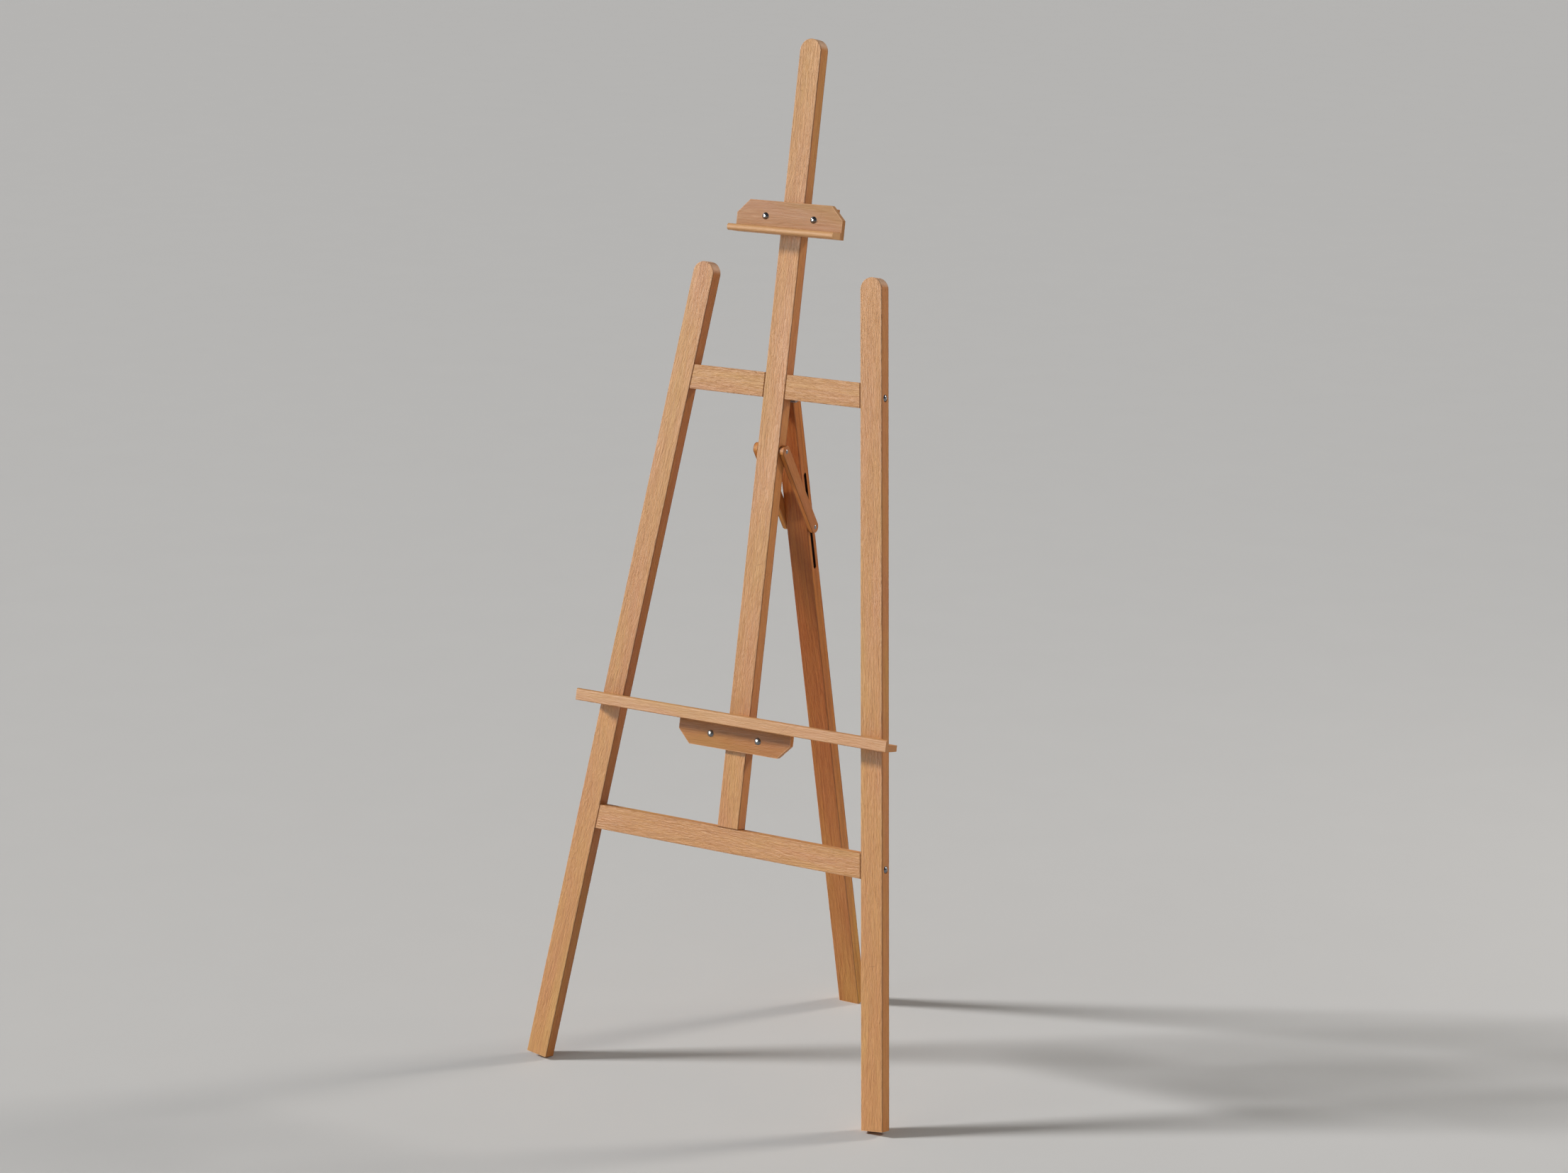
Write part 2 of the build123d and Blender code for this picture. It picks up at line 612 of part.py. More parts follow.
frame_parts = {
    "front_leg_left": front_leg(-1),
    "front_leg_right": front_leg(1),
    "upper_crossbar": upper_crossbar(),
    "lower_crossbar": lower_crossbar(),
    "mast": mast(),
    "crossbar_bolts": [joint[2] * dome_bolt(FRAME_BOLT_RADIUS, joint[3]) for joint in CROSSBAR_JOINTS],
    "crossbar_barrel_nuts": [joint[4] * barrel_nut() for joint in CROSSBAR_JOINTS],
    "crossbar_dowels": [
        place * Cylinder(DOWEL_RADIUS, DOWEL_LENGTH) for joint in CROSSBAR_JOINTS for place in joint[5]
    ],
    "mast_foot_dowels": [place * Cylinder(DOWEL_RADIUS, DOWEL_LENGTH) for place in MAST_DOWEL_PLACES],
    "mast_lap_screws": [place * countersunk_screw(LAP_SCREW) for place in LAP_SCREW_PLACES],
    "hinge_frame_leaf": frame_hinge_leaf(),
    "hinge_frame_screws": [place * countersunk_screw(LEAF_SCREW) for place in FRAME_LEAF_SCREW_PLACES],
    "hinge_pin": HINGE_AT * Rot(0, 90, 0) * Cylinder(PIN_RADIUS, 2 * HINGE_HALF_LENGTH),
    "upper_holder": upper_holder(),
    "upper_back_board": back_board(UPPER_BOLT_Z),
    "shelf_tray": shelf_tray(),
    "shelf_clamp_board": shelf_clamp_board(),
    "shelf_back_board": back_board(SHELF_BOLT_Z),
    "shelf_tray_dowels": [place * TRAY_DOWEL for place in TRAY_DOWEL_PLACES],
}
frame_parts.update(holder_hardware("upper", UPPER_BOLT_Z))
frame_parts.update(holder_hardware("shelf", SHELF_BOLT_Z))

# The links hang from the mast at the angle that puts their far bolt in the rear leg's slot.
pivot_y = MID_DEPTH - STOCK_THICKNESS - KNUCKLE_RADIUS
pivot_z = LINK_PIVOT_Z - HINGE_PIN_Z
pivot_in_leg_y = pivot_y * math.cos(spread) + pivot_z * math.sin(spread)
pivot_in_leg_z = -pivot_y * math.sin(spread) + pivot_z * math.cos(spread)
slot_bolt_y = REAR_LEG_MID_Y + SLOT_BOLT_OFFSET
slot_bolt_z = pivot_in_leg_z - math.sqrt(LINK_PITCH ** 2 - (slot_bolt_y - pivot_in_leg_y) ** 2)
link_in_leg = math.atan2(slot_bolt_y - pivot_in_leg_y, pivot_in_leg_z - slot_bolt_z)
LINK_AT = Pos(0, MID_DEPTH, LINK_PIVOT_Z) * Rot(SPREAD + math.degrees(link_in_leg), 0, 0)

pivot_bolt, pivot_nut_at = link_hardware(0)
slot_bolt, slot_nut_at = link_hardware(LINK_PITCH)
link_parts = {
    "link_left": link_bar(-1),
    "link_right": link_bar(1),
    "link_pivot_bolt": pivot_bolt,
    "link_pivot_nut": pivot_nut_at * sleeve_nut(),
    "link_slot_bolt": slot_bolt,
    "link_slot_nut": slot_nut_at * sleeve_nut(),
}

# The rear leg reaches the floor on which the inner back corners of the front feet stand.
foot_corner_z = -STOCK_WIDTH / 2 * math.sin(splay)
fall_across = math.sin(splay) * math.cos(lean)
fall_in_depth = math.sin(lean)
corner_lift = EDGE_RADIUS * (fall_across + fall_in_depth - math.hypot(fall_across, fall_in_depth))
floor_z = foot_corner_z * math.cos(lean) - STOCK_THICKNESS * math.sin(lean) + corner_lift
pin_height = HINGE_PIN_Z * math.cos(lean) - (STOCK_THICKNESS + KNUCKLE_RADIUS) * math.sin(lean) - floor_z
rear_tilt = spread - lean
foot_depth = (pin_height + REAR_LEG_FRONT_Y * math.sin(rear_tilt)) / math.cos(rear_tilt)
rear_parts = {
    "rear_leg": rear_leg(foot_depth),
    "hinge_leg_leaf": leg_hinge_leaf(),
    "hinge_leg_screws": [place * countersunk_screw(END_GRAIN_SCREW) for place in LEG_LEAF_SCREW_PLACES],
}

# ---------------------------------------------------------------- standing pose and export

# The origin is on the floor, midway between the front feet and the heel of the rear leg.
front_y = foot_corner_z * math.sin(lean)
pin_y = HINGE_PIN_Z * math.sin(lean) + (STOCK_THICKNESS + KNUCKLE_RADIUS) * math.cos(lean)
heel_in_leg_y = REAR_LEG_FRONT_Y + STOCK_THICKNESS
heel_y = pin_y + heel_in_leg_y * math.cos(rear_tilt) + foot_depth * math.sin(rear_tilt)
STANDING = Pos(0, -(front_y + heel_y) / 2, -floor_z) * Rot(-FRAME_LEAN, 0, 0)

groups = (
    (STANDING, frame_parts),
    (STANDING * LINK_AT, link_parts),
    (STANDING * HINGE_AT * Rot(SPREAD, 0, 0), rear_parts),
)

os.makedirs("parts", exist_ok=True)
for location, parts in groups:
    for name, made in parts.items():
        solids = made if isinstance(made, list) else [made]
        placed = [location * solid for solid in solids]
        shape = placed[0] if len(placed) == 1 else Compound(children=placed)
        export_step(shape, f"parts/{name}.step")
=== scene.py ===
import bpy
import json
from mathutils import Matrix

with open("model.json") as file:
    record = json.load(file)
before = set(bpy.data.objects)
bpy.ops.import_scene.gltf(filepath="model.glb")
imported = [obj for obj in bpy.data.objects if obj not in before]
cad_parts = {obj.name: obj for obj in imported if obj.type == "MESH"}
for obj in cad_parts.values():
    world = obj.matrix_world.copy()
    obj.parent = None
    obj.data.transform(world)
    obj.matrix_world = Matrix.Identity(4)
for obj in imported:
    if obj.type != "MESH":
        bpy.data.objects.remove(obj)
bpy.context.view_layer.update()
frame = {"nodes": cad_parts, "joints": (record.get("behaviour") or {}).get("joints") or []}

import json
import math
import random

import bpy
import numpy as np
from mathutils import Matrix, Vector

nodes_by_name = frame["nodes"]
joints = {joint["name"]: joint for joint in frame["joints"]}
rng = random.Random(7)

# ---------------------------------------------------------------- directions of the timber
FRAME_LEAN = math.radians(12.8)
LEG_SPREAD = math.radians(23.1)
LEG_SPLAY = math.radians(7.17)
MM = 1000.0

RIGHT = Vector((1, 0, 0))
UP = Vector((0, math.sin(FRAME_LEAN), math.cos(FRAME_LEAN)))
BACK = Vector((0, math.cos(FRAME_LEAN), -math.sin(FRAME_LEAN)))
REAR_UP = UP * math.cos(LEG_SPREAD) - BACK * math.sin(LEG_SPREAD)
REAR_BACK = BACK * math.cos(LEG_SPREAD) + UP * math.sin(LEG_SPREAD)


def joint_point(name):
    return Vector(joints[name]["pos_m"])


def splayed(side):
    angle = LEG_SPLAY * side
    return UP * math.cos(angle) - RIGHT * math.sin(angle)


link_line = joint_point("links_swing") - joint_point("slot_nut_turn")
link_line.x = 0
link_line.normalize()

# each wooden node: the directions through its thickness and along its grain
TIMBER_AXES = {
    "front_leg_left": (BACK, splayed(-1)),
    "front_leg_right": (BACK, splayed(1)),
    "mast": (BACK, UP),
    "rear_leg": (REAR_BACK, REAR_UP),
    "upper_crossbar": (BACK, RIGHT),
    "lower_crossbar": (BACK, RIGHT),
    "link_left": (RIGHT, link_line),
    "link_right": (RIGHT, link_line),
    "upper_holder": (BACK, RIGHT),
    "upper_back_board": (BACK, RIGHT),
    "shelf_tray": (BACK, RIGHT),
    "shelf_clamp_board": (BACK, RIGHT),
    "shelf_back_board": (BACK, RIGHT),
    "crossbar_dowels": (BACK, RIGHT),
    "mast_foot_dowels": (BACK, UP),
    "shelf_tray_dowels": (BACK, UP),
}


def local_frame(name):
    """The turn from the row frame to a node's timber axes, its middle and its half sizes in mm."""
    through, along = TIMBER_AXES[name]
    turn = Matrix((through.cross(along), through, along))
    count = len(nodes_by_name[name].data.vertices)
    points = np.zeros(count * 3, np.float32)
    nodes_by_name[name].data.vertices.foreach_get("co", points)
    spread = points.reshape(-1, 3) @ np.array(turn).T
    low, high = spread.min(0) * MM, spread.max(0) * MM
    middle = (low + high) / 2
    half = (high - low) / 2
    return turn, Vector(middle.tolist()), [float(value) for value in half]


# ---------------------------------------------------------------- node helper
class Graph:
    """Adds shader nodes to a tree with short calls."""

    def __init__(self, tree):
        self.tree = tree

    def node(self, kind, **settings):
        made = self.tree.nodes.new(kind)
        for key, value in settings.items():
            setattr(made, key, value)
        return made

    def feed(self, socket, value):
        if isinstance(value, bpy.types.NodeSocket):
            self.tree.links.new(value, socket)
        else:
            socket.default_value = value

    def math(self, operation, *values, clamp=False):
        made = self.node("ShaderNodeMath", operation=operation, use_clamp=clamp)
        for socket, value in zip(made.inputs, values):
            self.feed(socket, value)
        return made.outputs[0]

    def vector(self, operation, *values, out=0):
        made = self.node("ShaderNodeVectorMath", operation=operation)
        for socket, value in zip(made.inputs, values):
            self.feed(socket, value)
        return made.outputs[out]

    def combine(self, x, y, z):
        made = self.node("ShaderNodeCombineXYZ")
        for socket, value in zip(made.inputs, (x, y, z)):
            self.feed(socket, value)
        return made.outputs[0]

    def split(self, vector):
        made = self.node("ShaderNodeSeparateXYZ")
        self.feed(made.inputs[0], vector)
        return made.outputs[0], made.outputs[1], made.outputs[2]

    def noise(self, vector, scale, detail=3.0, roughness=0.5, distortion=0.0, colour=False):
        stretched = self.vector("MULTIPLY", vector, scale)
        made = self.node("ShaderNodeTexNoise", noise_dimensions="3D")
        self.feed(made.inputs["Vector"], stretched)
        made.inputs["Scale"].default_value = 1.0
        made.inputs["Detail"].default_value = detail
        made.inputs["Roughness"].default_value = roughness
        made.inputs["Distortion"].default_value = distortion
        return made.outputs["Color" if colour else "Fac"]

    def cells(self, vector, scale, feature="F1"):
        stretched = self.vector("MULTIPLY", vector, scale)
        made = self.node("ShaderNodeTexVoronoi", feature=feature)
        self.feed(made.inputs["Vector"], stretched)
        made.inputs["Scale"].default_value = 1.0
        return made

    def span(self, value, low, high, to_low=0.0, to_high=1.0, smooth=True):
        made = self.node("ShaderNodeMapRange")
        made.interpolation_type = "SMOOTHSTEP" if smooth else "LINEAR"
        made.clamp = True
        names = ("Value", "From Min", "From Max", "To Min", "To Max")
        for key, item in zip(names, (value, low, high, to_low, to_high)):
            self.feed(made.inputs[key], item)
        return made.outputs[0]

    def mix(self, amount, first, second, blend="MIX"):
        made = self.node("ShaderNodeMix", data_type="RGBA", blend_type=blend)
        made.clamp_factor = True
        self.feed(made.inputs[0], amount)
        self.feed(made.inputs[6], first)
        self.feed(made.inputs[7], second)
        return made.outputs[2]

    def ramp(self, value, stops):
        made = self.node("ShaderNodeValToRGB")
        elements = made.color_ramp.elements
        while len(elements) < len(stops):
            elements.new(0.5)
        for element, (place, colour) in zip(elements, stops):
            element.position = place
            element.color = (*colour, 1)
        self.feed(made.inputs[0], value)
        return made.outputs[0]

    def bump(self, height, strength, distance, normal=None):
        made = self.node("ShaderNodeBump")
        made.inputs["Strength"].default_value = strength
        made.inputs["Distance"].default_value = distance
        self.feed(made.inputs["Height"], height)
        if normal is not None:
            self.feed(made.inputs["Normal"], normal)
        return made.outputs[0]


def new_material(name):
    material = bpy.data.materials.new(name)
    material.use_nodes = True
    tree = material.node_tree
    tree.nodes.clear()
    graph = Graph(tree)
    shader = graph.node("ShaderNodeBsdfPrincipled")
    output = graph.node("ShaderNodeOutputMaterial")
    tree.links.new(shader.outputs[0], output.inputs[0])
    return material, graph, shader


# ---------------------------------------------------------------- beech
# colours of the wood and its marks, painted light and shade for its edges, tops and slot, then the tints
# that multiply them
PINK = (0.600, 0.246, 0.090)
TAN = (0.615, 0.276, 0.084)
YELLOW = (0.630, 0.315, 0.092)
PALE = (0.700, 0.370, 0.130)
STREAK = (0.430, 0.160, 0.048)
FLECK = (0.320, 0.110, 0.035)
# painted shade for the edges and for the joints between pieces
EDGE_SHADE = (0.180, 0.062, 0.022)
# pale fibres of the grain, and the colour of the lighter edges, which are partly wear and partly painted
# highlight
EDGE_LIGHT = (0.760, 0.430, 0.230)
# painted highlight of the round tops
CROWN_HIGHLIGHT = (0.860, 0.560, 0.390)
RAIL = (0.740, 0.420, 0.200)
# painted shade inside the slot
SLOT_SHADE = (0.012, 0.007, 0.005, 1)
WARM = (0.740, 0.500, 0.340)
GOLD = (1.060, 1.150, 1.160)
SOFT = (0.970, 1.050, 1.180)
# painted light and shade: tints for the narrow faces, some lighter and some darker than the front
LIT_SIDE_YELLOW = (1.250, 1.280, 1.000)
SHADED_SIDE = (1.000, 0.870, 0.740)
DARKER_SHADED_SIDE = (0.740, 0.580, 0.430)
LIT_SIDE_BLUE = (1.080, 1.100, 1.150)

HALF = (0.5, 0.5, 0.5)

# sizes in mm
CORNER_CUT = 24.0
MAST_HALF_WIDTH = 21.0
SLOT_HALF_WIDTH = 4.15
LOG_REACH = 900
SWAY = 34.0
WAVE = 3.2
RINGS_PER_MM = 0.27


def beech(name, profile, tint=None, board_face=None, cut=0, ridge=1.0, figure=1.0,
          side_shading=SHADED_SIDE, edge_shade_amount=0.62, tone=WARM, tone_amount=None, gloss=0.3):
    """Solid beech whose rings, fibres and ray flecks run along the node's own timber axes.

    profile says which shape the piece's edges follow, cut is the side of x where a board's corners
    are cut off, board_face is the depth y of a board's front when a rail stands out from it.
    ridge and figure scale the relief and the colour of the grain. side_shading paints light and shade
    on the narrow faces as a tint, edge_shade_amount sets the painted shade along edges, tone_amount
    mixes tone in at the foot and at the top, and tint colours the faces away from the lighter edges.
    """
    turn, middle, half = local_frame(name)
    half_wide, half_thick, half_long = half
    material, g, shader = new_material("beech_" + name)
    where = g.node("ShaderNodeTexCoord")
    place = g.node("ShaderNodeMapping", vector_type="POINT")
    g.feed(place.inputs["Vector"], where.outputs["Object"])
    place.inputs["Scale"].default_value = (MM, MM, MM)
    place.inputs["Rotation"].default_value = turn.to_euler("XYZ")
    place.inputs["Location"].default_value = -middle
    point = place.outputs[0]
    facing = g.node("ShaderNodeMapping", vector_type="NORMAL")
    g.feed(facing.inputs["Vector"], where.outputs["Normal"])
    facing.inputs["Rotation"].default_value = turn.to_euler("XYZ")
    face = g.vector("ABSOLUTE", facing.outputs[0])
    x, y, z = g.split(point)
    face_x, face_y, face_z = g.split(face)

    # the board was cut from its own place in a log
    shift = [rng.uniform(-LOG_REACH, LOG_REACH) for _ in range(3)]
    pith_x = rng.choice((-1, 1)) * rng.uniform(30, 70)
    pith_y = rng.choice((-1, 1)) * rng.uniform(45, 90)
    in_log = g.vector("ADD", point, shift)
    sway = g.noise(in_log, (0.010, 0.010, 0.0020), 1.0, colour=True)
    sway = g.vector("MULTIPLY", g.vector("SUBTRACT", sway, HALF), (SWAY, SWAY, 0.0))
    wave = g.noise(in_log, (0.07, 0.07, 0.009), 2.0, colour=True)
    wave = g.vector("MULTIPLY", g.vector("SUBTRACT", wave, HALF), (WAVE, WAVE, 0.0))
    bend = g.vector("ADD", sway, wave)
    grain = g.vector("ADD", in_log, bend)
    round_pith = g.vector("ADD", g.vector("ADD", point, bend), (pith_x, pith_y, 0.0))
    flat = g.vector("MULTIPLY", round_pith, (1.0, 1.0, 0.0))
    radius = g.vector("LENGTH", flat, out=1)
    uneven = g.noise(g.combine(radius, 0.0, 0.0), (0.11, 1.0, 1.0), 2.0)
    rings = g.math("ADD", g.math("MULTIPLY", radius, RINGS_PER_MM), g.math("MULTIPLY", uneven, 2.4))
    ring = g.math("FRACT", rings)
    ring_line = g.math("MULTIPLY", g.span(ring, 0.35, 0.9), g.span(ring, 0.93, 1.0, 1.0, 0.0))

    fibre = g.noise(grain, (1.15, 1.15, 0.022), 4.0, 0.62)
    streak = g.noise(grain, (0.30, 0.30, 0.0065), 3.0, 0.55)
    patch = g.noise(in_log, (0.030, 0.030, 0.0050), 2.0, 0.5)
    blush = g.noise(in_log, (0.012, 0.012, 0.0021), 2.0, 0.5)

    base = g.ramp(patch, ((0.30, PINK), (0.50, TAN), (0.68, YELLOW)))
    base = g.mix(g.span(blush, 0.42, 0.66, 0.0, 0.55), base, (*PINK, 1))
    base = g.mix(g.span(streak, 0.42, 0.74, 0.0, 0.36 * figure), base, (*STREAK, 1))
    base = g.mix(g.span(streak, 0.42, 0.24, 0.0, 0.30 * figure), base, (*YELLOW, 1))
    base = g.mix(g.math("MULTIPLY", ring_line, 0.17), base, (*STREAK, 1))
    base = g.mix(g.span(fibre, 0.50, 0.80, 0.0, 0.42 * figure), base, (*STREAK, 1))
    base = g.mix(g.span(fibre, 0.46, 0.24, 0.0, 0.30), base, (*EDGE_LIGHT, 1))
    ripple = g.noise(grain, (0.40, 0.40, 0.050), 3.0, 0.60, 0.9)
    fine_figure = min(figure, 1.0)
    base = g.mix(g.span(ripple, 0.50, 0.72, 0.0, 0.28 * fine_figure), base, (*STREAK, 1))
    base = g.mix(g.span(ripple, 0.50, 0.30, 0.0, 0.24 * fine_figure), base, (*PALE, 1))

    # ray flecks: short dark spindles along the grain
    flecks = g.cells(grain, (0.95, 0.95, 0.21))
    fleck_size = g.span(flecks.outputs["Distance"], 0.10, 0.26, 1.0, 0.0)
    _, _, chance = g.split(flecks.outputs["Color"])
    fleck = g.math("MULTIPLY", fleck_size, g.span(chance, 0.55, 0.75))
    base = g.mix(g.math("MULTIPLY", fleck, 0.32 * fine_figure), base, (*FLECK, 1))

    # small dents and hairline scratches from use
    dents = g.cells(in_log, (0.050, 0.050, 0.020))
    _, dent_chance, _ = g.split(dents.outputs["Color"])
    dent_size = g.span(dents.outputs["Distance"], 0.015, 0.045, 1.0, 0.0)
    dent = g.math("MULTIPLY", dent_size, g.span(dent_chance, 0.70, 0.74))
    scratches = g.cells(in_log, (0.016, 0.016, 0.0085), "DISTANCE_TO_EDGE")
    scratch_patch = g.noise(in_log, (0.018, 0.018, 0.010), 1.0)
    scratch_line = g.span(scratches.outputs["Distance"], 0.0012, 0.0042, 1.0, 0.0)
    scratch = g.math("MULTIPLY", scratch_line, g.span(scratch_patch, 0.55, 0.60))
    base = g.mix(g.math("MULTIPLY", dent, 0.35), base, (*FLECK, 1))
    base = g.mix(g.math("MULTIPLY", scratch, 0.30), base, (*FLECK, 1))

    # distance to the nearest edge in mm, from the profile of the piece
    depth = g.math("SUBTRACT", half_thick, g.math("ABSOLUTE", y))
    if profile == "round_top":
        past = g.math("MAXIMUM", g.math("SUBTRACT", z, half_long - half_wide), 0.0)
        side = g.math("SUBTRACT", half_wide, g.vector("LENGTH", g.combine(x, past, 0.0), out=1))
        side = g.math("MINIMUM", side, g.math("ADD", z, half_long))
    elif profile == "capsule":
        past = g.math("SUBTRACT", g.math("ABSOLUTE", z), half_long - half_wide)
        past = g.math("MAXIMUM", past, 0.0)
        side = g.math("SUBTRACT", half_wide, g.vector("LENGTH", g.combine(x, past, 0.0), out=1))
    else:
        side = g.math("MINIMUM", g.math("SUBTRACT", half_wide, g.math("ABSOLUTE", x)),
                      g.math("SUBTRACT", half_long, g.math("ABSOLUTE", z)))
    if cut:
        rise = g.math("MULTIPLY_ADD", x, float(cut), half_wide)
        inward = g.math("SUBTRACT", half_long, g.math("ABSOLUTE", z))
        across = g.math("SUBTRACT", g.math("ADD", inward, rise), CORNER_CUT)
        side = g.math("MINIMUM", side, g.math("MULTIPLY", across, math.sqrt(0.5)))
    if board_face is not None:
        depth = g.math("ABSOLUTE", g.math("SUBTRACT", y, board_face))
    edge = g.math("MAXIMUM", depth, side)
    ragged = g.noise(in_log, (0.5, 0.5, 0.06), 3.0, 0.6)
    frayed = g.math("ADD", edge, g.math("MULTIPLY", g.math("SUBTRACT", ragged, 0.5), 1.8))
    # lighter edges, partly wear and partly painted highlight
    worn_lit_edge = g.span(frayed, 1.5, 0.5)
    if profile == "section":
        flat_face = g.math("MAXIMUM", face_x, g.math("MAXIMUM", face_y, face_z))
        worn_lit_edge = g.math("MULTIPLY", g.span(flat_face, 0.93, 0.80), 0.5)
    elif profile != "board":
        # painted shade: a thin dark line just inside each edge, stronger on the narrow faces
        edge_shade_line = g.math("MULTIPLY", g.span(frayed, 0.9, 1.5), g.span(frayed, 1.7, 2.4, 1.0, 0.0))
        edge_shade_line = g.math("MULTIPLY", edge_shade_line, g.span(face_y, 0.9, 0.5, 0.20, 0.8 * edge_shade_amount))
        base = g.mix(edge_shade_line, base, (*EDGE_SHADE, 1))
    # painted highlight: the faces left where a board's corners are cut off are painted lighter
    if cut:
        lit_chamfer = g.math("MULTIPLY", g.span(face_x, 0.5, 0.65), g.span(face_z, 0.5, 0.65))
        worn_lit_edge = g.math("MAXIMUM", worn_lit_edge, g.math("MULTIPLY", lit_chamfer, 0.8))
    edge_lightening = 0.6 if profile == "board" else 0.38
    base = g.mix(g.math("MULTIPLY", worn_lit_edge, edge_lightening), base, (*EDGE_LIGHT, 1))

    # painted light and shade on the narrow faces: a tint that makes them lighter or darker than the front,
    # and painted shade along their edges
    if profile in ("round_top", "box", "capsule"):
        base = g.mix(g.span(face_y, 0.8, 0.3), base, (*side_shading, 1), "MULTIPLY")
        # painted shade: the narrow faces darken towards their edges
        side_edge_shade = g.math("MULTIPLY", g.span(edge, 1.9, 1.0), g.span(face_y, 0.75, 0.35))
        base = g.mix(g.math("MULTIPLY", side_edge_shade, edge_shade_amount), base, (*EDGE_SHADE, 1))

    # painted highlight: the curved round tops are painted lighter
    if profile == "round_top":
        crown_highlight = g.math("MULTIPLY", g.span(past, 2.0, 13.0), g.span(face_y, 0.8, 0.3))
        base = g.mix(g.math("MULTIPLY", crown_highlight, 0.75), base, (*CROWN_HIGHLIGHT, 1))

    # painted shade: thin dark lines where one piece of timber meets another, standing in for the shade in
    # the gap, with less shine there
    seams = []
    if name == "mast":
        seams.append(g.math("ADD", z, half_long))
    if name.endswith("crossbar"):
        slant = g.math("MULTIPLY", g.math("SUBTRACT", half_wide, x), math.tan(LEG_SPLAY))
        end_at = g.math("SUBTRACT", half_long, slant)
        seams.append(g.math("SUBTRACT", end_at, g.math("ABSOLUTE", z)))
    if name == "upper_crossbar":
        from_lap = g.math("SUBTRACT", g.math("ABSOLUTE", z), MAST_HALF_WIDTH)
        seams.append(g.math("ABSOLUTE", from_lap))
    shine = gloss
    for seam in seams:
        base = g.mix(g.span(seam, 2.6, 1.1, 0.0, 0.85), base, (*EDGE_SHADE, 1))
        shine = g.math("MULTIPLY", g.span(seam, 1.1, 2.6, 0.1, 1.0), shine)

    # end grain drinks the finish and shows its pores
    end = g.span(face_z, 0.75, 0.95)
    pores = g.noise(point, (2.2, 2.2, 0.2), 2.0)
    base = g.mix(g.math("MULTIPLY", end, g.span(pores, 0.35, 0.7, 0.10, 0.45)), base, (*STREAK, 1))

    # painted shade: the inside of the rear leg's slot is painted near black
    if name == "rear_leg":
        near_slot = g.span(g.math("ABSOLUTE", y), SLOT_HALF_WIDTH, SLOT_HALF_WIDTH + 0.45, 1.0, 0.0)
        inside = g.span(g.math("ABSOLUTE", x), half_wide + 0.2, half_wide - 0.8)
        in_slot = g.math("MULTIPLY", g.math("MULTIPLY", near_slot, g.span(depth, 6.0, 8.0)), inside)
        base = g.mix(g.math("MULTIPLY", in_slot, 0.96), base, SLOT_SHADE)

    # tones of the whole piece, of a holder's rail and of a board's flat faces
    if tone_amount:
        foot, top = tone_amount
        along = g.span(z, -half_long, 0.3 * half_long, foot, top)
        base = g.mix(along, base, (*tone, 1), "MULTIPLY")
    if board_face is not None:
        rail = g.span(y, board_face - 1.0, board_face - 4.0)
        base = g.mix(g.math("MULTIPLY", rail, 0.75), base, (*RAIL, 1))
    if tint:
        amount = 1.0 if board_face is None else g.span(y, board_face - 4.0, board_face - 1.0)
        amount = g.math("MULTIPLY", amount, g.span(worn_lit_edge, 0.0, 1.0, 1.0, 0.3))
        base = g.mix(amount, base, (*tint, 1), "MULTIPLY")
    g.feed(shader.inputs["Base Color"], base)

    rough = g.span(fibre, 0.25, 0.75, 0.42, 0.56)
    rough = g.math("ADD", rough, g.math("MULTIPLY", fleck, -0.06))
    rough = g.math("ADD", rough, g.span(patch, 0.35, 0.65, -0.03, 0.04))
    rough = g.math("ADD", rough, g.math("MULTIPLY", end, 0.10))
    g.feed(shader.inputs["Roughness"], rough)

    ridges = g.noise(grain, (0.34, 0.34, 0.042), 3.0, 0.62, 0.9)
    weave = g.noise(grain, (0.80, 0.80, 0.13), 2.0, 0.6, 0.6)
    height = g.math("MULTIPLY", ridges, 1.15 * ridge)
    reliefs = ((weave, 0.42 * ridge), (fibre, 0.12), (fleck, -0.020), (dent, -0.22), (scratch, -0.07))
    for relief, size in reliefs:
        height = g.math("ADD", height, g.math("MULTIPLY", relief, size))
    g.feed(shader.inputs["Normal"], g.bump(height, 1.0, 1.0 / MM))
    g.feed(shader.inputs["Specular IOR Level"], shine)
    return material


# ---------------------------------------------------------------- zinc
def zinc(name, rough, colour, swirl=1.0):
    """Zinc plate in the colour given, with fine polishing marks, darker spots and dulled patches."""
    material, g, shader = new_material("zinc_" + name)
    where = g.node("ShaderNodeTexCoord")
    point = g.vector("MULTIPLY", where.outputs["Object"], (MM, MM, MM))
    cloud = g.noise(point, (0.35, 0.35, 0.35), 3.0, 0.6)
    spot = g.noise(point, (1.6, 1.6, 1.6), 2.0, 0.5)
    lines = g.noise(point, (0.8, 6.0, 6.0), 2.0, 0.5)
    dulled = [part * fade for part, fade in zip(colour, (0.84, 0.86, 0.90))]
    base = g.mix(g.span(cloud, 0.35, 0.70), (*colour, 1), (*dulled, 1))
    base = g.mix(g.span(spot, 0.62, 0.78, 0.0, 0.35), base, (0.30, 0.30, 0.31, 1))
    g.feed(shader.inputs["Base Color"], base)
    dull = g.span(cloud, 0.30, 0.75, rough - 0.05, rough + 0.09)
    dull = g.math("ADD", dull, g.span(lines, 0.3, 0.7, -0.03, 0.03))
    g.feed(shader.inputs["Roughness"], dull)
    height = g.math("MULTIPLY", lines, 0.010 * swirl)
    height = g.math("ADD", height, g.math("MULTIPLY", cloud, 0.03 * swirl))
    g.feed(shader.inputs["Normal"], g.bump(height, 0.6, 1.0 / MM))
    shader.inputs["Metallic"].default_value = 1.0
    return material


def dress(name, material):
    for slot in nodes_by_name[name].material_slots:
        slot.material = material


